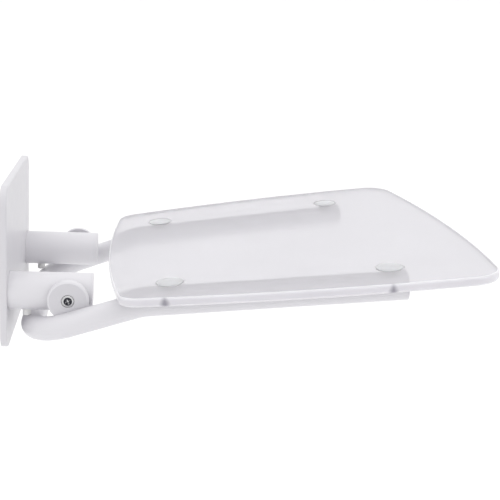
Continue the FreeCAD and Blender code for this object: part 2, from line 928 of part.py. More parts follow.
os.makedirs("parts", exist_ok=True)
for item in pieces:
    item.Shape.exportStep(f"parts/{item.Label}.step")
    box = item.Shape.BoundBox
    print(
        f"{item.Label}: {len(item.Shape.Solids)} solid(s), {item.Shape.Volume:.0f} mm3,"
        f" x {box.XMin:.1f}..{box.XMax:.1f} y {box.YMin:.1f}..{box.YMax:.1f}"
        f" z {box.ZMin:.1f}..{box.ZMax:.1f}"
    )
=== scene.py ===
import json
import math

import bmesh
import bpy
from mathutils import Matrix, Vector
from mathutils.geometry import tessellate_polygon


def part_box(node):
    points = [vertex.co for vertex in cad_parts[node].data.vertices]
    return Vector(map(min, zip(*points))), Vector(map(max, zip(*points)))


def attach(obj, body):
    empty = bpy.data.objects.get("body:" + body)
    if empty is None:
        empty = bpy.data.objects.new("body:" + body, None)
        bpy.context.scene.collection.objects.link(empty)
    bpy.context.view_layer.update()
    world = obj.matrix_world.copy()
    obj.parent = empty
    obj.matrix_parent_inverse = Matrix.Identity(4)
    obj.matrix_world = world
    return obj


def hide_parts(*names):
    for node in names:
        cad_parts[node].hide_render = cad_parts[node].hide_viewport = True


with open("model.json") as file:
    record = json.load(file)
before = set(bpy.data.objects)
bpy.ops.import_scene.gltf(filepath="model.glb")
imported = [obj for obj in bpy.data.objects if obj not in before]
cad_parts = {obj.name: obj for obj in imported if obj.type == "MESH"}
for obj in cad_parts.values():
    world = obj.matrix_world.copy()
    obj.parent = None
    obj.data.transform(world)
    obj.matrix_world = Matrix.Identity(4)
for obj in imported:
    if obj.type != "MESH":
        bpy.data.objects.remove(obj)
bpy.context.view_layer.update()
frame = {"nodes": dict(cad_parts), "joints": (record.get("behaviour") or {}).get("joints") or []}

# Wall-mounted folding shower seat, in metres, in the frame of the CAD part:
# X out from the wall, Y across the seat, Z up.

MM = 0.001
WALL = "wall_bracket"
SEAT = "folding_seat"
SIDES = {"left": -1, "right": 1}

# ---------------------------------------------------------------- places and sizes

# The cover, arms, lugs and pivots take their extents from the frame; the rest are driving sizes.
cover_low, cover_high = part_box("wall_cover")
arm_low, arm_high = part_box("arm_right")
end_cap_low, end_cap_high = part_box("arm_end_cap_right")
lug_low, lug_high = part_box("hinge_lug_right")
screw_low, screw_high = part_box("pivot_screw_right")

COVER_CORNER = 18.0 * MM
COVER_EDGE = 1.8 * MM
COVER_WALL = 2.0 * MM
COVER_TOP = cover_high.z
COVER_BOTTOM = -cover_low.z
COVER_HALF = cover_high.y
COVER_DEPTH = cover_high.x
COVER_GAP = 0.25 * MM

ARM_RADIUS = end_cap_high.z
ARM_WALL = 3.0 * MM
ARM_SIDE = (end_cap_low.y + end_cap_high.y) / 2
ARM_END = end_cap_high.x
ARM_START = arm_low.x
END_CAP_FLANGE = ARM_END - arm_high.x
END_CAP_PLUG = 6.0 * MM
END_CAP_RIM = 3.2 * MM
END_CAP_EDGE = 0.9 * MM
END_CAP_SEAM = 0.05 * MM
PLUG_PLAY = 0.1 * MM

pivot = Vector(frame["joints"][0]["pos_m"])
FLAT_AT = 100.8 * MM
FLAT_RADIUS = 12.0 * MM
LUG_RADIUS = (lug_high.x - lug_low.x) / 2
LUG_INNER = lug_low.y
LUG_OUTER = lug_high.y
LUG_EDGE = 2.8 * MM
LUG_SINK = 6.75 * MM
BUSH_RADIUS = 6.5 * MM
BUSH_FLOOR = 107.7 * MM
HEAD_RADIUS = (screw_high.x - screw_low.x) / 2
HEAD_BASE = 109.2 * MM
HEAD_TOP = screw_high.y
HEAD_RIM = 0.7 * MM
SCREW_END = screw_low.y
THREAD_ROOT = 2.4 * MM
THREAD_CREST = 3.0 * MM
THREAD_PITCH = 1.0 * MM
DRIVE_REACH = 3.5 * MM
DRIVE_WIDTH = 0.75 * MM
DRIVE_DEPTH = 2.2 * MM
DRIVE_TURN = math.radians(25)

TUBE_RADIUS = 12.5 * MM
TUBE_BORE = 10.5 * MM
CROSS_OUT = 29.5 * MM
CROSS_DROP = 39.1 * MM
CORNER_BEND = 47.4 * MM
KINK_OUT = 141.0 * MM
KINK_BEND = 85.0 * MM
RAIL_DEPTH = 16.5 * MM
RAIL_END = 407.4 * MM
END_PLUG_LENGTH = 14.0 * MM
END_PLUG_HEAD = 2.0 * MM
END_PLUG_EDGE = 0.8 * MM

TILT = math.radians(7.14)
SEAT_REAR = 107.0 * MM
SEAT_FRONT = 507.2 * MM
SEAT_THICKNESS = 9.0 * MM
SEAT_UNDERSIDE = 5.5 * MM
DISH_RADIUS = 4020.0 * MM
SEAT_REAR_HALF = 168.1 * MM
SEAT_FRONT_HALF = 208.6 * MM
REAR_BULGE = 13.6 * MM
FRONT_BULGE = 20.9 * MM
SIDE_BULGE = 9.7 * MM
REAR_CORNER = 24.0 * MM
FRONT_CORNER = 34.0 * MM
SEAT_EDGE = 1.6 * MM

REAR_BOLT = (170.1 * MM, 124.7 * MM)
FRONT_BOLT = (391.1 * MM, 146.1 * MM)
RECESS_RADIUS = 15.0 * MM
RECESS_DEPTH = 0.35 * MM
CAP_RADIUS = 13.4 * MM
CAP_HEIGHT = 1.5 * MM
CAP_RIM = 0.7 * MM
SNAP_INNER = 5.7 * MM
SNAP_OUTER = 7.1 * MM
SNAP_DEPTH = 1.2 * MM
SINK_RADIUS = 7.3 * MM
SINK_FLOOR = 3.2 * MM
BOLT_HOLE = 3.4 * MM
BOLT_HEAD = 6.6 * MM
BOLT_HEAD_HEIGHT = 3.3 * MM
BOLT_SOCKET = 2.0 * MM
BOLT_LENGTH = 17.0 * MM
SADDLE_RADIUS = 7.5 * MM
SADDLE_DEPTH = 0.4 * MM

# Painted dark spots in the sheet's edge that stand in for the bolts seen through it and the shade at
# their foot: where they sit along the seat, and their shape.
BOLT_SHADE_SPOTS = (162.4 * MM, 377.5 * MM)
BOLT_SHADE_BASE = 2.0 * MM
BOLT_SHADE_CORE = 1.0 * MM
BOLT_SHADE_REACH = 6.0 * MM
BOLT_SHADE_TAPER = 0.5
BOLT_SHADE_COLOUR = (0.36, 0.35, 0.39, 1.0)

BOLTS = {
    f"{row}_{side}": (place[0], sign * place[1])
    for row, place in (("rear", REAR_BOLT), ("front", FRONT_BOLT))
    for side, sign in SIDES.items()
}
SEAT_PLANE = Matrix.Rotation(-TILT, 4, "Y")


# ---------------------------------------------------------------- node materials


def material(name):
    made = bpy.data.materials.new(name)
    made.use_nodes = True
    nodes = made.node_tree.nodes
    shader = nodes["Principled BSDF"]
    return made, nodes, made.node_tree.links, shader


def noise(nodes, links, scale, detail=3.0, roughness=0.5, stretch=(1, 1, 1)):
    """Noise in object coordinates; returns its factor socket."""
    place = nodes.new("ShaderNodeTexCoord")
    scaling = nodes.new("ShaderNodeMapping")
    scaling.inputs["Scale"].default_value = stretch
    texture = nodes.new("ShaderNodeTexNoise")
    texture.inputs["Scale"].default_value = scale
    texture.inputs["Detail"].default_value = detail
    texture.inputs["Roughness"].default_value = roughness
    links.new(place.outputs["Object"], scaling.inputs["Vector"])
    links.new(scaling.outputs["Vector"], texture.inputs["Vector"])
    return texture.outputs["Fac"]


def ramp(nodes, links, factor, stops):
    made = nodes.new("ShaderNodeValToRGB")
    links.new(factor, made.inputs["Fac"])
    elements = made.color_ramp.elements
    while len(elements) < len(stops):
        elements.new(0.5)
    for element, (place, colour) in zip(elements, stops):
        element.position = place
        element.color = colour if len(colour) == 4 else (*colour, 1.0)
    return made.outputs["Color"]


def spread(nodes, links, factor, low, high):
    made = nodes.new("ShaderNodeMapRange")
    made.inputs["From Min"].default_value = 0.3
    made.inputs["From Max"].default_value = 0.7
    made.inputs["To Min"].default_value = low
    made.inputs["To Max"].default_value = high
    links.new(factor, made.inputs["Value"])
    return made.outputs["Result"]


def bumped(nodes, links, shader, factor, strength, distance):
    made = nodes.new("ShaderNodeBump")
    made.inputs["Strength"].default_value = strength
    made.inputs["Distance"].default_value = distance
    links.new(factor, made.inputs["Height"])
    links.new(made.outputs["Normal"], shader.inputs["Normal"])


def coated(name, dark, light, rough, peel_scale, peel, coat=0.0):
    """Opaque painted or moulded surface: slow tone drift, fine surface texture, varied gloss."""
    made, nodes, links, shader = material(name)
    tone = noise(nodes, links, 5.0, 2.0)
    links.new(ramp(nodes, links, tone, [(0.35, dark), (0.65, light)]), shader.inputs["Base Color"])
    gloss = noise(nodes, links, 60.0, 5.0)
    links.new(spread(nodes, links, gloss, *rough), shader.inputs["Roughness"])
    bumped(nodes, links, shader, noise(nodes, links, peel_scale, 2.0), peel, 0.0002)
    shader.inputs["Coat Weight"].default_value = coat
    shader.inputs["Coat Roughness"].default_value = 0.08
    return made


def metal(name, dark, light, rough, stretch):
    made, nodes, links, shader = material(name)
    grain = noise(nodes, links, 900.0, 3.0, 0.6, stretch)
    links.new(ramp(nodes, links, grain, [(0.3, dark), (0.7, light)]), shader.inputs["Base Color"])
    links.new(spread(nodes, links, noise(nodes, links, 250.0), *rough), shader.inputs["Roughness"])
    bumped(nodes, links, shader, grain, 0.15, 0.0001)
    shader.inputs["Metallic"].default_value = 1.0
    return made


def acrylic(name, dark, light, rough, clear, index):
    """Milky plastic; clear is the share of light that goes through, index its refraction."""
    made, nodes, links, shader = material(name)
    tone = noise(nodes, links, 7.0, 3.0)
    links.new(ramp(nodes, links, tone, [(0.35, dark), (0.65, light)]), shader.inputs["Base Color"])
    gloss = noise(nodes, links, 120.0, 4.0)
    links.new(spread(nodes, links, gloss, *rough), shader.inputs["Roughness"])
    bumped(nodes, links, shader, noise(nodes, links, 2600.0, 2.0), 0.02, 0.00005)
    shader.inputs["Transmission Weight"].default_value = clear
    shader.inputs["Subsurface Weight"].default_value = 1.0
    shader.inputs["Subsurface Radius"].default_value = (1.0, 1.0, 1.0)
    shader.inputs["Subsurface Scale"].default_value = 8 * MM
    shader.inputs["IOR"].default_value = index
    return made


def worked(nodes, links, operation, first, second):
    """One step of arithmetic on sockets or plain numbers."""
    node = nodes.new("ShaderNodeMath")
    node.operation = operation
    for socket, value in zip(node.inputs, (first, second)):
        if isinstance(value, float):
            socket.default_value = value
        else:
            links.new(value, socket)
    return node.outputs["Value"]


def with_painted_bolt_shade(made):
    """Paints dark spots into the sheet's edge colour: a painted image of the bolts seen through it,
    with painted shade at the wide foot and narrow above.
    """
    nodes, links = made.node_tree.nodes, made.node_tree.links
    colour = nodes["Principled BSDF"].inputs["Base Color"]
    unshaded_colour = colour.links[0].from_socket
    place = nodes.new("ShaderNodeTexCoord")
    level = nodes.new("ShaderNodeMapping")
    level.inputs["Rotation"].default_value = (0, TILT, 0)
    parts = nodes.new("ShaderNodeSeparateXYZ")
    links.new(place.outputs["Object"], level.inputs["Vector"])
    links.new(level.outputs["Vector"], parts.inputs["Vector"])

    def math_step(operation, first, second):
        return worked(nodes, links, operation, first, second)

    gaps = [
        math_step("ABSOLUTE", math_step("SUBTRACT", parts.outputs["X"], shade_spot), 0.0)
        for shade_spot in BOLT_SHADE_SPOTS
    ]
    above = math_step("MAXIMUM", math_step("SUBTRACT", parts.outputs["Z"], BOLT_SHADE_BASE), 0.0)
    distance = math_step(
        "ADD", math_step("MINIMUM", *gaps), math_step("MULTIPLY", above, BOLT_SHADE_TAPER)
    )
    fade = nodes.new("ShaderNodeMapRange")
    fade.inputs["From Min"].default_value = BOLT_SHADE_CORE
    fade.inputs["From Max"].default_value = BOLT_SHADE_REACH
    links.new(distance, fade.inputs["Value"])
    mix = nodes.new("ShaderNodeMix")
    mix.data_type = "RGBA"
    mix.inputs["A"].default_value = BOLT_SHADE_COLOUR
    links.new(fade.outputs["Result"], mix.inputs["Factor"])
    links.new(unshaded_colour, mix.inputs["B"])
    links.new(mix.outputs["Result"], colour)
    return made


def cool_white(level):
    """White or light grey with a slight lavender cast."""
    return (level, level - 0.01, level + 0.02)


FROST = (cool_white(0.67), cool_white(0.69))
ALL_WAYS = (1, 1, 1)
ALONG_SHEET = (1, 1, 0.1)

MATERIALS = {
    "white_frame": coated(
        "white_frame", cool_white(0.66), cool_white(0.675), (0.30, 0.36), 900, 0.01, coat=0.1
    ),
    "white_cover": coated("white_cover", cool_white(0.60), cool_white(0.62), (0.30, 0.36), 160, 0.01),
    # A darker copy of the frame paint: painted shade on the lug's sideways-facing face.
    "lug_painted_shade": coated(
        "lug_painted_shade", cool_white(0.57), cool_white(0.585), (0.30, 0.36), 900, 0.01, coat=0.1
    ),
    "white_plastic": coated(
        "white_plastic", cool_white(0.66), cool_white(0.675), (0.32, 0.38), 900, 0.01
    ),
    "frosted_acrylic": acrylic("frosted_acrylic", *FROST, (0.15, 0.20), 0.50, 1.2),
    "acrylic_underside": acrylic("acrylic_underside", *FROST, (0.02, 0.04), 0.9, 1.2),
    # The edge's colour carries painted dark spots for the bolts seen through it and the shade at
    # their foot.
    "acrylic_edge": with_painted_bolt_shade(
        acrylic("acrylic_edge", cool_white(0.66), cool_white(0.69), (0.12, 0.18), 0.1, 1.2)
    ),
    # Whitish clear cap plastic whose colour also carries a blue tint as a painted sky reflection.
    "cap_plastic": acrylic(
        "cap_plastic", (0.70, 0.71, 0.77), (0.73, 0.74, 0.80), (0.14, 0.20), 0.1, 1.4
    ),
    "screw_steel": metal(
        "screw_steel", (0.50, 0.50, 0.51), (0.70, 0.70, 0.71), (0.22, 0.36), ALL_WAYS
    ),
    "dark_steel": metal(
        "dark_steel", (0.02, 0.02, 0.025), (0.05, 0.05, 0.06), (0.25, 0.40), ALL_WAYS
    ),
    "zinc_steel": metal(
        "zinc_steel", (0.42, 0.43, 0.46), (0.62, 0.63, 0.66), (0.28, 0.46), ALONG_SHEET
    ),
    "bush_plastic": coated(
        "bush_plastic", (0.78, 0.78, 0.77), (0.84, 0.84, 0.83), (0.40, 0.55), 1200, 0.15
    ),
    "black_rubber": coated(
        "black_rubber", (0.016, 0.016, 0.018), (0.035, 0.035, 0.038), (0.55, 0.75), 1500, 0.35
    ),
}


# ---------------------------------------------------------------- mesh helpers


def rounded_line(points, sizes, steps=6):
    """Polyline in 2-D or 3-D whose inner corners become arcs of the given radii."""
    points = [Vector(p) for p in points]
    line = [points[0]]
    for before, corner, after, size in zip(points, points[1:], points[2:], sizes):
        into = (corner - before).normalized()
        away = (after - corner).normalized()
        turn = into.angle(away)
        if size <= 0 or turn < 1e-4:
            line.append(corner)
            continue
        first = corner - into * (size * math.tan(turn / 2))
        inward = (away - into * into.dot(away)).normalized()
        centre = first + inward * size
        for i in range(steps + 1):
            angle = turn * i / steps
            away_from_centre = into * math.sin(angle) - inward * math.cos(angle)
            line.append(centre + away_from_centre * size)
    line.append(points[-1])
    return line


def circle_line(x, y, radius, count=72):
    turns = [2 * math.pi * i / count for i in range(count)]
    return [(x + radius * math.cos(a), y + radius * math.sin(a)) for a in turns]


def lathe(profile, segments=72, sizes=None, steps=4):
    """Solid of revolution about local Z from (radius, height) points; returns a bmesh."""
    if sizes is not None:
        profile = rounded_line(profile, sizes, steps)
    bm = bmesh.new()
    rings = []
    for radius, height in profile:
        if radius < 1e-7:
            rings.append([bm.verts.new((0, 0, height))])
            continue
        circle = circle_line(0, 0, radius, segments)
        rings.append([bm.verts.new((x, y, height)) for x, y in circle])
    for low, high in zip(rings, rings[1:]):
        for i in range(segments):
            j = (i + 1) % segments
            lower = [low[i % len(low)], low[j % len(low)]]
            upper = [high[j % len(high)], high[i % len(high)]]
            corners = list(dict.fromkeys(lower + upper))
            if len(corners) > 2:
                bm.faces.new(corners)
    if len(rings[0]) > 1 and (Vector(profile[0]) - Vector(profile[-1])).length < 1e-7:
        bmesh.ops.remove_doubles(bm, verts=rings[0] + rings[-1], dist=1e-7)
    bmesh.ops.recalc_face_normals(bm, faces=bm.faces)
    return bm


def thread_profile(start, end):
    """Profile of a threaded shank that begins on the axis."""
    profile = [(0, start), (THREAD_ROOT, start)]
    for i in range(int((end - start) / THREAD_PITCH) - 1):
        profile.append((THREAD_ROOT, start + (i + 0.1) * THREAD_PITCH))
        profile.append((THREAD_CREST, start + (i + 0.55) * THREAD_PITCH))
    return profile


def dome_profile(radius, base, rise, steps):
    """Profile of an elliptical dome above its rim, up to the axis."""
    profile = []
    for i in range(1, steps + 1):
        angle = math.pi / 2 * i / steps
        width = radius * math.cos(angle) if i < steps else 0
        profile.append((width, base + rise * math.sin(angle)))
    return profile


def to_object(bm, name, slots, place=None, sharp=32.0):
    """Turns a bmesh into a smooth-shaded object with the named materials."""
    mesh = bpy.data.meshes.new(name)
    if place is not None:
        bm.transform(place)
    bm.to_mesh(mesh)
    bm.free()
    obj = bpy.data.objects.new(name, mesh)
    bpy.context.scene.collection.objects.link(obj)
    for item in slots:
        mesh.materials.append(MATERIALS[item])
    finish_shading(obj, sharp)
    return obj


def finish_shading(obj, sharp):
    obj.data.shade_smooth()
    obj.data.set_sharp_from_angle(angle=math.radians(sharp))
    weighted = obj.modifiers.new("weighted_normals", "WEIGHTED_NORMAL")
    weighted.keep_sharp = True


def paint(bm, slot_number, chosen):
    """Gives another material slot to the faces whose centre passes a test."""
    for face in bm.faces:
        if chosen(face.calc_center_median()):
            face.material_index = slot_number


def carve(obj, tools, sharp=32.0):
    """Subtracts the tool meshes for good and removes the tools."""
    for tool in tools:
        cutter = bpy.data.objects.new("cutter", bpy.data.meshes.new("cutter"))
        tool.to_mesh(cutter.data)
        tool.free()
        bpy.context.scene.collection.objects.link(cutter)
        cutting = obj.modifiers.new("cut", "BOOLEAN")
        cutting.object = cutter
        cutting.operation = "DIFFERENCE"
        cutting.solver = "EXACT"
        obj.modifiers.move(len(obj.modifiers) - 1, 0)
        weighted = obj.modifiers.get("weighted_normals")
        if weighted:
            obj.modifiers.remove(weighted)
        bpy.context.view_layer.update()
        graph = bpy.context.evaluated_depsgraph_get()
        carved = bpy.data.meshes.new_from_object(obj.evaluated_get(graph))
        obj.modifiers.clear()
        obj.data = carved
        bpy.data.objects.remove(cutter)
    finish_shading(obj, sharp)
    return obj


def joined(parts):
    """One bmesh from several."""
    whole = bmesh.new()
    for part in parts:
        mesh = bpy.data.meshes.new("part")
        part.to_mesh(mesh)
        part.free()
        whole.from_mesh(mesh)
        bpy.data.meshes.remove(mesh)
    return whole


def placed(bm, matrix):
    bm.transform(matrix)
    return bm


def fitted(obj, body, slot, *nodes):
    """Rides on a body and stands for CAD nodes; the slot argument is not used."""
    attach(obj, body)
    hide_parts(*nodes)
    return obj


def along_y(sign, x=0.0, z=0.0):
    """Local Z becomes the +Y or -Y axis through the given x and z."""
    turn = Matrix.Rotation(-math.pi / 2 * sign, 4, "X")
    return Matrix.Translation((x, 0, z)) @ turn


def along_x(y):
    return Matrix.Translation((0, y, 0)) @ Matrix.Rotation(math.pi / 2, 4, "Y")


# ---------------------------------------------------------------- wall cover


def rounded_box_line(half, low, high, corner, inset, steps=12):
    """Closed rounded rectangle in the YZ plane, moved inward by inset."""
    size = max(corner - inset, 0.2 * MM)
    centres = [
        (half - corner, high - corner, 0),
        (-half + corner, high - corner, 1),
        (-half + corner, low + corner, 2),
        (half - corner, low + corner, 3),
    ]
    line = []
    for y, z, quarter in centres:
        for i in range(steps + 1):
            angle = math.pi / 2 * (quarter + i / steps)
            line.append((y + size * math.cos(angle), z + size * math.sin(angle)))
    return line


def skin(bm, rings):
    """Quads between consecutive closed rings of vertices."""
    for low, high in zip(rings, rings[1:]):
        for i in range(len(low)):
            j = (i + 1) % len(low)
            bm.faces.new((low[i], low[j], high[j], high[i]))


def flat_with_holes(bm, outer, holes):
    loops = [outer, *holes]
    verts = [v for loop in loops for v in loop]
    for triangle in tessellate_polygon([[v.co for v in loop] for loop in loops]):
        bm.faces.new([verts[i] for i in triangle])


def wall_cover():
    bm = bmesh.new()

    def ring(inset, x):
        line = rounded_box_line(COVER_HALF, -COVER_BOTTOM, COVER_TOP, COVER_CORNER, inset)
        return [bm.verts.new((x, y, z)) for y, z in line]

    def hole(side, x):
        line = circle_line(SIDES[side] * ARM_SIDE, 0, ARM_RADIUS + COVER_GAP)
        return [bm.verts.new((x, y, z)) for y, z in line]

    steps = 6
    outer = [ring(0, 0), ring(0, COVER_DEPTH - COVER_EDGE)]
    for i in range(1, steps + 1):
        angle = math.pi / 2 * i / steps
        inset = COVER_EDGE * (1 - math.cos(angle))
        outer.append(ring(inset, COVER_DEPTH - COVER_EDGE * (1 - math.sin(angle))))
    inner_floor = ring(COVER_WALL, COVER_DEPTH - COVER_WALL)
    inner_rim = ring(COVER_WALL, 0)
    skin(bm, outer)
    skin(bm, [inner_floor, inner_rim, outer[0]])
    fronts = [hole(side, COVER_DEPTH) for side in SIDES]
    backs = [hole(side, COVER_DEPTH - COVER_WALL) for side in SIDES]
    for front, back in zip(fronts, backs):
        skin(bm, [front, back])
    flat_with_holes(bm, outer[-1], fronts)
    flat_with_holes(bm, inner_floor, backs)
    bmesh.ops.recalc_face_normals(bm, faces=bm.faces)
    cover = to_object(bm, "cover_shell", ["white_cover"], sharp=40.0)
    return fitted(cover, WALL, "white_cover", "wall_cover")


# ---------------------------------------------------------------- arms and pivots


def arm(side):
    sign = SIDES[side]
    end = ARM_END - END_CAP_FLANGE
    bore = ARM_RADIUS - ARM_WALL
    bm = lathe(
        [
            (bore, ARM_START), (ARM_RADIUS, ARM_START),
            (ARM_RADIUS, end), (bore, end), (bore, ARM_START),
        ],
        96,
        [0.2 * MM, 0.15 * MM, 0.2 * MM],
    )
    tube = to_object(bm, f"arm_tube_{side}", ["white_frame"], along_x(sign * ARM_SIDE))
    flat = lathe([(0, FLAT_AT), (FLAT_RADIUS, FLAT_AT), (FLAT_RADIUS, 0.125), (0, 0.125)])
    carve(tube, [placed(flat, along_y(sign, pivot.x, pivot.z))])
    return fitted(tube, WALL, "white_frame", f"arm_{side}")


def arm_end_cap(side):
    sign = SIDES[side]
    base = ARM_END - END_CAP_FLANGE + END_CAP_SEAM
    plug = ARM_RADIUS - ARM_WALL - PLUG_PLAY
    bm = lathe(
        [
            (0, base - END_CAP_PLUG), (plug, base - END_CAP_PLUG), (plug, base), (ARM_RADIUS, base),
            (ARM_RADIUS, ARM_END), (ARM_RADIUS - END_CAP_RIM, ARM_END), (0, ARM_END),
        ],
        96,
        [0, 0, END_CAP_SEAM, END_CAP_EDGE, 0],
        6,
    )
    cap = to_object(bm, f"arm_cap_{side}", ["white_plastic"], along_x(sign * ARM_SIDE))
    return fitted(cap, WALL, "white_plastic", f"arm_end_cap_{side}")


def drive_wing(turn):
    """One arm of the cross recess: a tapered slot across the screw's head."""
    wing = bmesh.new()
    ends = [
        (DRIVE_REACH * 0.35, DRIVE_WIDTH * 0.5, HEAD_TOP - DRIVE_DEPTH),
        (DRIVE_REACH * 1.1, DRIVE_WIDTH, HEAD_TOP + 1 * MM),
    ]
    quarters = ((1, 1), (-1, 1), (-1, -1), (1, -1))
    rings = [[wing.verts.new((u * x, v * y, z)) for u, v in quarters] for x, y, z in ends]
    skin(wing, rings)
    wing.faces.new(rings[0])
    wing.faces.new(rings[1])
    bmesh.ops.recalc_face_normals(wing, faces=wing.faces)
    return placed(wing, Matrix.Rotation(turn + DRIVE_TURN, 4, "Z"))


def pivot_screw(side):
    """Domed dark head with a ring of lighter steel round it as a painted highlight, and a cross
    recess, over a threaded shank.
    """
    sign = SIDES[side]
    rim = HEAD_BASE + HEAD_RIM
    profile = thread_profile(SCREW_END, HEAD_BASE)
    profile += [(THREAD_CREST, HEAD_BASE), (HEAD_RADIUS, HEAD_BASE), (HEAD_RADIUS, rim)]
    profile += dome_profile(HEAD_RADIUS, rim, HEAD_TOP - rim, 8)
    bm = lathe(profile, 64)
    # Dark steel in the middle of the head; the outer ring keeps the lighter steel as a painted
    # highlight.
    paint(bm, 1, lambda at: at.z > HEAD_BASE and at.xy.length < HEAD_RADIUS * 0.74)
    screw = to_object(bm, f"pivot_bolt_{side}", ["screw_steel", "dark_steel"])
    carve(screw, [drive_wing(turn) for turn in (0, math.pi / 2)])
    screw.data.transform(along_y(sign, pivot.x, pivot.z))
    return fitted(screw, WALL, "screw_steel", f"pivot_screw_{side}")


def hinge_lug(side):
    """Round plate whose face carries painted shade, darker than its rounded rim in the plain frame
    paint, with a sunk seat for the bush.
    """
    bm = lathe(
        [
            (BUSH_RADIUS, LUG_INNER), (LUG_RADIUS, LUG_INNER), (LUG_RADIUS, LUG_OUTER),
            (LUG_SINK, LUG_OUTER), (LUG_SINK, BUSH_FLOOR),
            (BUSH_RADIUS, BUSH_FLOOR), (BUSH_RADIUS, LUG_INNER),
        ],
        128,
        [0.8 * MM, LUG_EDGE, 0.4 * MM, 0, 0],
        6,
    )
    # The rounded rim keeps the plain frame paint; the rest of the lug carries the painted shade.
    paint(bm, 1, lambda at: at.xy.length > LUG_RADIUS - LUG_EDGE * 0.8)
    place = along_y(SIDES[side], pivot.x, pivot.z)
    lug = to_object(bm, f"lug_plate_{side}", ["lug_painted_shade", "white_frame"], place)
    return fitted(lug, SEAT, "white_frame", f"hinge_lug_{side}")


# ---------------------------------------------------------------- bent tube


def seat_point(along, across, height):
    return SEAT_PLANE @ Vector((along, across, height))


RAIL_SPREAD = (FRONT_BOLT[1] - REAR_BOLT[1]) / (FRONT_BOLT[0] - REAR_BOLT[0])


def rail_side(along):
    return REAR_BOLT[1] + RAIL_SPREAD * (along - REAR_BOLT[0])


def tube_corners():
    """Corners of the right half of the tube's centre line, from the rail's tip to the back."""
    rise = (KINK_OUT * math.sin(TILT) - RAIL_DEPTH) / math.cos(TILT)
    along = KINK_OUT * math.cos(TILT) + rise * math.sin(TILT)
    kink = Vector((KINK_OUT, rail_side(along), rise))
    corner_side = kink.y - RAIL_SPREAD / math.cos(TILT) * (KINK_OUT - CROSS_OUT)
    corner = Vector((CROSS_OUT, corner_side, -CROSS_DROP))
    tip = seat_point(RAIL_END, rail_side(RAIL_END), -RAIL_DEPTH)
    return [tip, kink, corner]


def sweep(path, radii, segments=64):
    """Closed tube wall along a path; radii are (outer, inner)."""
    bm = bmesh.new()
    headings = []
    for i in range(len(path)):
        before = path[max(i - 1, 0)]
        after = path[min(i + 1, len(path) - 1)]
        headings.append((after - before).normalized())
    side = headings[0].orthogonal().normalized()
    rings = {radius: [] for radius in radii}
    for point, heading in zip(path, headings):
        side = (side - heading * side.dot(heading)).normalized()
        up = heading.cross(side)
        for radius in radii:
            rings[radius].append(
                [
                    bm.verts.new(
                        point
                        + side * (radius * math.cos(2 * math.pi * i / segments))
                        + up * (radius * math.sin(2 * math.pi * i / segments))
                    )
                    for i in range(segments)
                ]
            )
    for radius in radii:
        skin(bm, rings[radius])
    skin(bm, [rings[radii[0]][0], rings[radii[1]][0]])
    skin(bm, [rings[radii[0]][-1], rings[radii[1]][-1]])
    bmesh.ops.recalc_face_normals(bm, faces=bm.faces)
    return bm


def subdivided(path, longest):
    line = [path[0]]
    for start, end in zip(path, path[1:]):
        count = max(1, math.ceil((end - start).length / longest))
        line += [start.lerp(end, i / count) for i in range(1, count + 1)]
    return line


def seat_frame():
    right = tube_corners()
    left = [Vector((p.x, -p.y, p.z)) for p in reversed(right)]
    path = rounded_line(right + left, [KINK_BEND, CORNER_BEND, CORNER_BEND, KINK_BEND], 20)
    bm = sweep(subdivided(path, 25 * MM), (TUBE_RADIUS, TUBE_BORE))
    tube = to_object(bm, "bent_tube", ["white_frame"], sharp=45.0)
    return fitted(tube, SEAT, "white_frame", "seat_frame")


def tube_end_plug(side):
    sign = SIDES[side]
    tip = tube_corners()[0]
    root = seat_point(0, rail_side(0), -RAIL_DEPTH)
    tip.y *= sign
    root.y *= sign
    plug = TUBE_BORE - PLUG_PLAY
    bm = lathe(
        [
            (0, -END_PLUG_LENGTH), (plug, -END_PLUG_LENGTH), (plug, 0.1 * MM),
            (TUBE_RADIUS, 0.1 * MM), (TUBE_RADIUS, END_PLUG_HEAD),
            (TUBE_RADIUS - 2 * MM, END_PLUG_HEAD), (0, END_PLUG_HEAD),
        ],
        64,
        [0, 0, 0.15 * MM, END_PLUG_EDGE, 0],
        5,
    )
    turn = (tip - root).to_track_quat("Z", "Y").to_matrix().to_4x4()
    made = to_object(bm, f"end_plug_{side}", ["white_plastic"], Matrix.Translation(tip) @ turn)
    return fitted(made, SEAT, "white_plastic", f"tube_end_plug_{side}")


# ---------------------------------------------------------------- seat panel


def bottom_height(across):
    return DISH_RADIUS - math.sqrt(DISH_RADIUS**2 - across**2) - SEAT_UNDERSIDE


def top_height(across):
    size = DISH_RADIUS - SEAT_THICKNESS
    return size - math.sqrt(size**2 - across**2) + SEAT_THICKNESS - SEAT_UNDERSIDE


def side_circle(start, end, bulge):
    """Centre and radius of the bowed side through two corners of the plan."""
    chord = end - start
    outward = Vector((chord.y, -chord.x)).normalized()
    radius = ((chord.length / 2) ** 2 + bulge**2) / (2 * bulge)
    return (start + end) / 2 - outward * (radius - bulge), radius


def circles_meet(a, size_a, b, size_b, near):
    """The point where two circles cross that lies nearest to a given point."""
    gap = b - a
    along = (gap.length_squared + size_a**2 - size_b**2) / (2 * gap.length)
    off = math.sqrt(size_a**2 - along**2)
    unit = gap.normalized()
    square = Vector((-unit.y, unit.x))
    ends = [a + unit * along + square * (off * s) for s in (1, -1)]
    return min(ends, key=lambda p: (p - near).length)


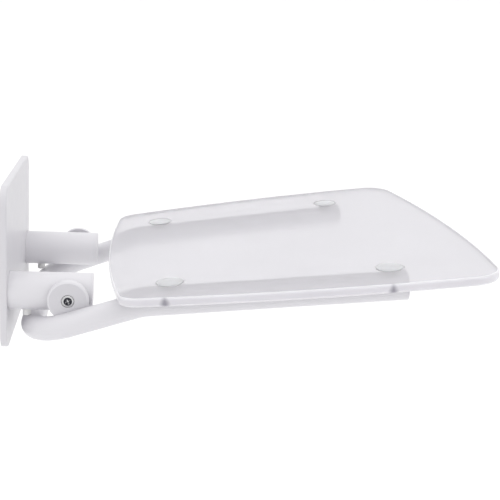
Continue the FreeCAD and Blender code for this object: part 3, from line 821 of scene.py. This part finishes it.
def seat_arcs():
    """The plan as arcs: (centre, radius, first angle, last angle), round the seat in order."""
    rear = SEAT_REAR + REAR_BULGE
    front = SEAT_FRONT - FRONT_BULGE
    corners = [
        Vector((rear, -SEAT_REAR_HALF)), Vector((front, -SEAT_FRONT_HALF)),
        Vector((front, SEAT_FRONT_HALF)), Vector((rear, SEAT_REAR_HALF)),
    ]
    bulges = [SIDE_BULGE, FRONT_BULGE, SIDE_BULGE, REAR_BULGE]
    rounds = [REAR_CORNER, FRONT_CORNER, FRONT_CORNER, REAR_CORNER]
    circles = [side_circle(corners[i], corners[(i + 1) % 4], bulges[i]) for i in range(4)]
    small = []
    for i in range(4):
        (before, size_before), (after, size_after) = circles[i - 1], circles[i]
        sizes = (size_before - rounds[i], size_after - rounds[i])
        small.append(circles_meet(before, sizes[0], after, sizes[1], corners[i]))

    def heading(centre, point):
        return math.atan2(point.y - centre.y, point.x - centre.x)

    arcs = []
    for i in range(4):
        before, after = circles[i - 1][0], circles[i][0]
        first, last = heading(before, small[i]), heading(after, small[i])
        arcs.append((small[i], rounds[i], first, last))
        arcs.append((after, circles[i][1], last, heading(after, small[(i + 1) % 4])))
    return arcs


def seat_line(inset, step=5 * MM):
    """Plan outline moved inward by inset; the same number of points whatever the inset."""
    line = []
    for centre, radius, first, last in seat_arcs():
        sweep_angle = (last - first + math.pi) % (2 * math.pi) - math.pi
        count = max(10, math.ceil(abs(sweep_angle) * radius / step))
        for i in range(count):
            angle = first + sweep_angle * i / count
            size = radius - inset
            line.append(centre + Vector((math.cos(angle), math.sin(angle))) * size)
    return line


PANEL_SLOTS = ["frosted_acrylic", "acrylic_edge", "acrylic_underside"]
TOP_SLOT, EDGE_SLOT, UNDERSIDE_SLOT = range(3)
BORDER_WIDTH = 8 * MM
EDGE_STEPS = 5
MIDDLE = Vector(((SEAT_REAR + SEAT_FRONT) / 2, 0))


def panel_ring(bm, line, height, lift=0.0):
    return [bm.verts.new((p.x, p.y, height(p.y) + lift)) for p in line]


def panel_edge(bm):
    """The sheet's edge with both arrises rounded; returns its rings from underside to top."""
    angles = [math.pi / 2 * i / EDGE_STEPS for i in range(EDGE_STEPS + 1)]
    rings = []
    for angle in angles:
        line = seat_line(SEAT_EDGE * (1 - math.sin(angle)))
        rings.append(panel_ring(bm, line, bottom_height, SEAT_EDGE * (1 - math.cos(angle))))
    for angle in angles:
        line = seat_line(SEAT_EDGE * (1 - math.cos(angle)))
        rings.append(panel_ring(bm, line, top_height, -SEAT_EDGE * (1 - math.sin(angle))))
    skin(bm, rings)
    for face in bm.faces:
        face.material_index = EDGE_SLOT
    return rings


def panel_face(bm, edge_ring, height, slot_number):
    """Closes the top or the underside with rings that shrink towards the middle."""
    made = len(bm.faces)
    border = seat_line(BORDER_WIDTH)
    rings = [edge_ring, panel_ring(bm, border, height)]
    for share in (0.95, 0.88, 0.8, 0.7, 0.6, 0.5, 0.4, 0.3, 0.2, 0.1):
        line = [MIDDLE + (p - MIDDLE) * share for p in border]
        rings.append(panel_ring(bm, line, height))
    skin(bm, rings)
    centre = bm.verts.new((MIDDLE.x, 0, height(0)))
    last = rings[-1]
    for i in range(len(last)):
        bm.faces.new((last[i], last[(i + 1) % len(last)], centre))
    bm.faces.ensure_lookup_table()
    for i in range(made, len(bm.faces)):
        bm.faces[i].material_index = slot_number


def bolt_opening(along, across):
    """Cap recess, sink for the bolt's head, bolt hole and saddle seat, as one cutter."""
    top = top_height(across)
    base = bottom_height(across)
    recess = top - RECESS_DEPTH
    clear = 3 * MM
    flare = RECESS_RADIUS + 0.5 * MM
    cutter = lathe(
        [
            (0, top + clear), (flare, top + clear), (flare, top),
            (RECESS_RADIUS, recess), (SINK_RADIUS, recess),
            (SINK_RADIUS, base + SINK_FLOOR), (BOLT_HOLE, base + SINK_FLOOR),
            (BOLT_HOLE, base + SADDLE_DEPTH), (SADDLE_RADIUS, base + SADDLE_DEPTH),
            (SADDLE_RADIUS, base - clear), (0, base - clear),
        ],
        64,
    )
    return placed(cutter, Matrix.Translation((along, across, 0)))


def seat_panel():
    bm = bmesh.new()
    rings = panel_edge(bm)
    panel_face(bm, rings[-1], top_height, TOP_SLOT)
    panel_face(bm, rings[0], bottom_height, UNDERSIDE_SLOT)
    bmesh.ops.recalc_face_normals(bm, faces=bm.faces)
    panel = to_object(bm, "seat_sheet", PANEL_SLOTS)
    carve(panel, [bolt_opening(*place) for place in BOLTS.values()])
    panel.data.transform(SEAT_PLANE)
    return fitted(panel, SEAT, "frosted_acrylic", "seat_panel")


# ---------------------------------------------------------------- seat fixings


def on_seat(along, across, height):
    return SEAT_PLANE @ Matrix.Translation((along, across, height))


def screw_cap(spot, along, across):
    """Shallow domed disc with a snap ring below."""
    floor = top_height(across) - RECESS_DEPTH + 0.05 * MM
    profile = [
        (0, 0), (SNAP_INNER, 0), (SNAP_INNER, -SNAP_DEPTH), (SNAP_OUTER, -SNAP_DEPTH),
        (SNAP_OUTER, 0), (CAP_RADIUS, 0), (CAP_RADIUS, CAP_RIM),
    ]
    profile += dome_profile(CAP_RADIUS, CAP_RIM, CAP_HEIGHT - 0.75 * MM, 10)
    place = on_seat(along, across, floor)
    cap = to_object(lathe(profile, 72), f"cap_lens_{spot}", ["cap_plastic"], place)
    return fitted(cap, SEAT, "cap_plastic", f"cap_{spot}")


def seat_bolts():
    """Four dark threaded bolts with bevelled heads, as one piece."""
    profile = thread_profile(-BOLT_LENGTH, 0) + [
        (THREAD_CREST, 0), (BOLT_HEAD, 0), (BOLT_HEAD, BOLT_HEAD_HEIGHT * 0.4),
        (BOLT_HEAD - 1.0 * MM, BOLT_HEAD_HEIGHT * 0.8),
        (BOLT_HEAD - 2.4 * MM, BOLT_HEAD_HEIGHT), (BOLT_SOCKET, BOLT_HEAD_HEIGHT),
        (BOLT_SOCKET, BOLT_HEAD_HEIGHT / 2), (0, BOLT_HEAD_HEIGHT / 2),
    ]
    parts = []
    for along, across in BOLTS.values():
        height = bottom_height(across) + SINK_FLOOR
        parts.append(placed(lathe(profile, 48), on_seat(along, across, height)))
    bolts = to_object(joined(parts), "seat_screws", ["dark_steel"])
    return fitted(bolts, SEAT, "dark_steel", "seat_bolts")


# ---------------------------------------------------------------- carried-over CAD nodes

CARRIED = {
    "backing_plate": "zinc_steel",
    "saddle_washers": "black_rubber",
    "rivet_nuts": "zinc_steel",
}
for hand in SIDES:
    CARRIED[f"pivot_barrel_{hand}"] = "zinc_steel"
    CARRIED[f"pivot_bush_{hand}"] = "bush_plastic"
    CARRIED[f"thrust_washer_{hand}"] = "bush_plastic"
    CARRIED[f"stop_buffer_{hand}"] = "bush_plastic"

for node, slot in CARRIED.items():
    carried = frame["nodes"][node]
    carried.data.materials.clear()
    carried.data.materials.append(MATERIALS[slot])

# ---------------------------------------------------------------- assembly

wall_cover()
for hand in SIDES:
    arm(hand)
    arm_end_cap(hand)
    pivot_screw(hand)
    hinge_lug(hand)
    tube_end_plug(hand)
seat_frame()
seat_panel()
for spot, (bolt_along, bolt_across) in BOLTS.items():
    screw_cap(spot, bolt_along, bolt_across)
seat_bolts()

# ---------------------------------------------------------------- floor, light and camera

FLOOR_DROP = 0.45
FLOOR_REACH = 30.0
BACKDROP_HEIGHT = 5.0
BACKDROP_BEND = 3.0
CAMERA_PLACE = (0.1146, -0.9404, 0.2911)
CAMERA_LENS = 61.28
CAMERA_YAW, CAMERA_PITCH, CAMERA_ROLL = -0.16105, -0.26985, 0.07387


def stage_floor():
    """Wide pale floor that curves up into a backdrop."""
    made, nodes, links, shader = material("studio_floor")
    tones = [(0.3, (0.95, 0.95, 0.95)), (0.7, (0.97, 0.97, 0.97))]
    colour = ramp(nodes, links, noise(nodes, links, 2.0), tones)
    links.new(colour, shader.inputs["Base Color"])
    shader.inputs["Roughness"].default_value = 0.8
    shader.inputs["Specular IOR Level"].default_value = 0.1
    bm = bmesh.new()
    back = (FLOOR_REACH, -FLOOR_DROP)
    line = [(-FLOOR_REACH, -FLOOR_DROP), back, (FLOOR_REACH, BACKDROP_HEIGHT)]
    profile = rounded_line(line, [BACKDROP_BEND], 16)
    rings = [[bm.verts.new((x, y, z)) for x in (-FLOOR_REACH, FLOOR_REACH)] for y, z in profile]
    for low, high in zip(rings, rings[1:]):
        bm.faces.new((low[0], low[1], high[1], high[0]))
    mesh = bpy.data.meshes.new("studio_floor")
    bm.to_mesh(mesh)
    bm.free()
    mesh.shade_smooth()
    floor = bpy.data.objects.new("studio_floor", mesh)
    bpy.context.scene.collection.objects.link(floor)
    mesh.materials.append(made)


def soft_light(name, place, target, size, power):
    """Rectangular lamp that faces its target."""
    data = bpy.data.lights.new(name, "AREA")
    data.shape = "RECTANGLE"
    data.size, data.size_y = size
    data.energy = power
    lamp = bpy.data.objects.new(name, data)
    lamp.location = place
    lamp.rotation_mode = "QUATERNION"
    lamp.rotation_quaternion = (Vector(target) - Vector(place)).to_track_quat("-Z", "Y")
    bpy.context.scene.collection.objects.link(lamp)


def studio_world():
    """White surroundings, a little brighter overhead."""
    world = bpy.data.worlds.new("studio")
    world.use_nodes = True
    nodes, links = world.node_tree.nodes, world.node_tree.links
    sky = nodes["Background"]
    place = nodes.new("ShaderNodeTexCoord")
    parts = nodes.new("ShaderNodeSeparateXYZ")
    links.new(place.outputs["Generated"], parts.inputs["Vector"])
    tones = [(0.0, (1.0, 1.0, 1.0)), (0.3, (1.05, 1.05, 1.05)), (1.0, (1.18, 1.18, 1.18))]
    links.new(ramp(nodes, links, parts.outputs["Z"], tones), sky.inputs["Color"])
    bpy.context.scene.world = world


def camera():
    """Low view from the seat's left side, with the wall plate at the left of the frame."""
    level = Vector((-math.sin(CAMERA_YAW), math.cos(CAMERA_YAW), 0))
    right = Vector((math.cos(CAMERA_YAW), math.sin(CAMERA_YAW), 0))
    up = Vector((0, 0, 1))
    ahead = level * math.cos(CAMERA_PITCH) + up * math.sin(CAMERA_PITCH)
    up = up * math.cos(CAMERA_PITCH) - level * math.sin(CAMERA_PITCH)
    turned_right = right * math.cos(CAMERA_ROLL) + up * math.sin(CAMERA_ROLL)
    turned_up = up * math.cos(CAMERA_ROLL) - right * math.sin(CAMERA_ROLL)
    data = bpy.data.cameras.new("camera")
    data.sensor_width = 36
    data.lens = CAMERA_LENS
    data.clip_start = 0.05
    lens = bpy.data.objects.new("camera", data)
    turn = Matrix((turned_right, turned_up, -ahead)).transposed()
    lens.matrix_world = Matrix.Translation(CAMERA_PLACE) @ turn.to_4x4()
    bpy.context.scene.collection.objects.link(lens)
    bpy.context.scene.camera = lens


stage_floor()
studio_world()
soft_light("top_softbox", place=(0.2, 0, 1.5), target=(0.25, 0, 0), size=(2, 2), power=5)
camera()
bpy.context.scene.view_settings.view_transform = "Standard"
